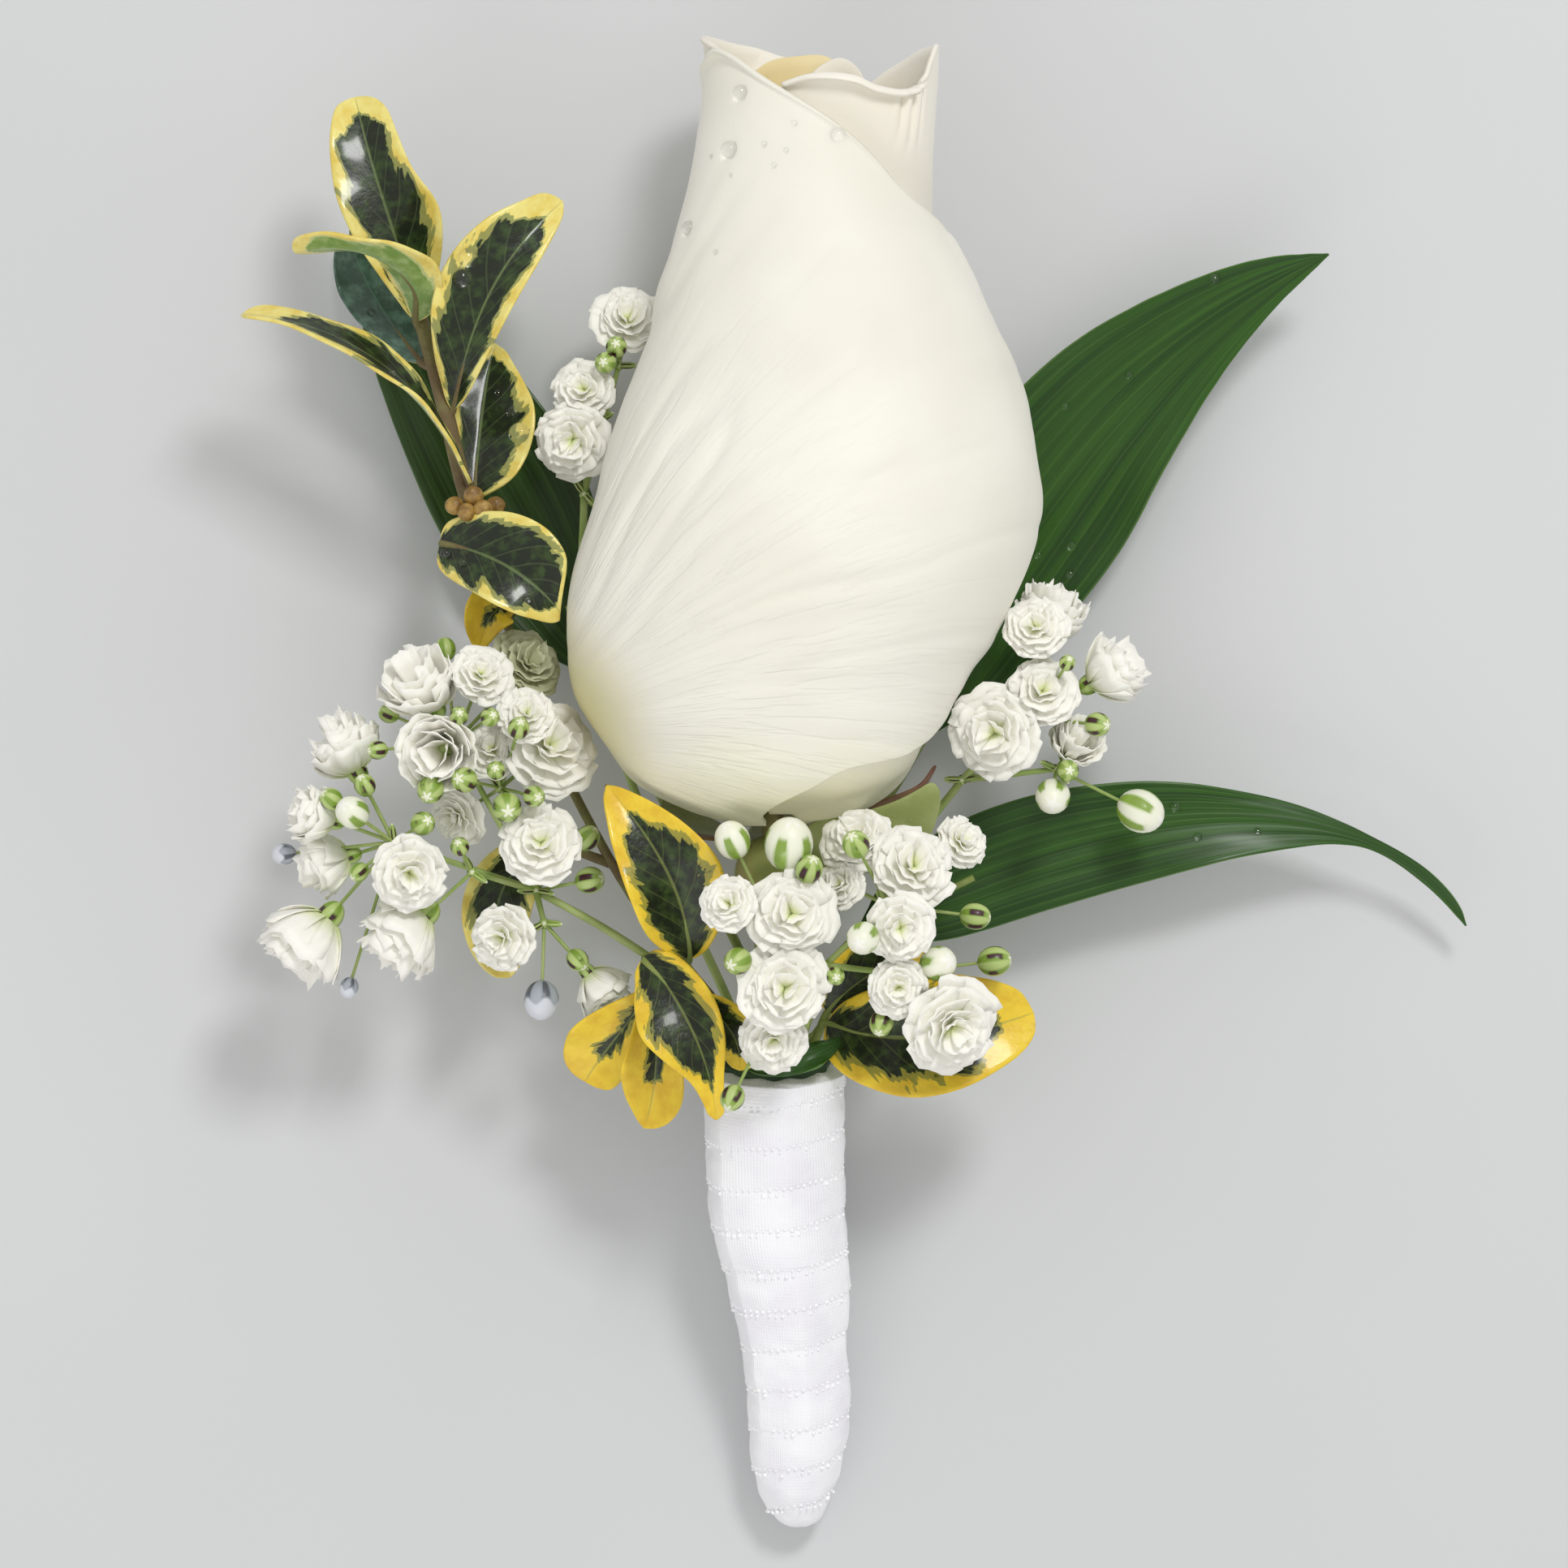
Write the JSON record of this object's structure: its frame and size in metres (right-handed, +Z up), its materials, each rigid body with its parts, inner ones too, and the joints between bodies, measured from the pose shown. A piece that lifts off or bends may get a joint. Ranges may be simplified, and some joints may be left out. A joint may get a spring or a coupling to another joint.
{
  "type": "boutonniere",
  "caption": "Buttonhole flower: a white rosebud with leaves and small white sprays behind it, its stems bound and wound with white ribbon; it lies on its back.",
  "frame": {"origin": "on the table, under the middle of the bounding box", "axes": "+Z up out of the table and towards the viewer, +Y along the piece from the handle to the flower, +X to the flower's right as seen from above"},
  "size_m": [0.0919, 0.1115, 0.0317],
  "materials": {
    "petal": "soft satin white",
    "innerPetal": "soft satin cream",
    "stem": "matt green",
    "ruscus": "waxy dark green",
    "variegated": "glossy dark green with cream margins",
    "brownBud": "matt brown",
    "blossom": "matt white",
    "tape": "matt waxed crepe, dark green",
    "ribbon": "satin weave, white"
  },
  "bodies": {
    "root": {"rose_petal_front": "petal", "rose_petal_right": "petal", "rose_petal_left_back": "petal", "rose_petal_inner_back": "innerPetal", "rose_petal_inner_right": "innerPetal", "rose_heart": "innerPetal", "rose_stem_with_calyx": "stem", "ruscus_leaf_left": "ruscus", "ruscus_leaf_upper_right": "ruscus", "ruscus_leaf_lower_right": "ruscus", "variegated_sprig_upper": "variegated", "variegated_sprig_lower_left": "variegated", "variegated_sprig_lower_right": "variegated", "brown_bud_cluster": "brownBud", "babys_breath_left": "blossom", "babys_breath_centre": "blossom", "babys_breath_right": "blossom", "babys_breath_upper": "blossom", "floral_tape_binding": "tape", "ribbon_wrap": "ribbon"}
  },
  "joints": []
}
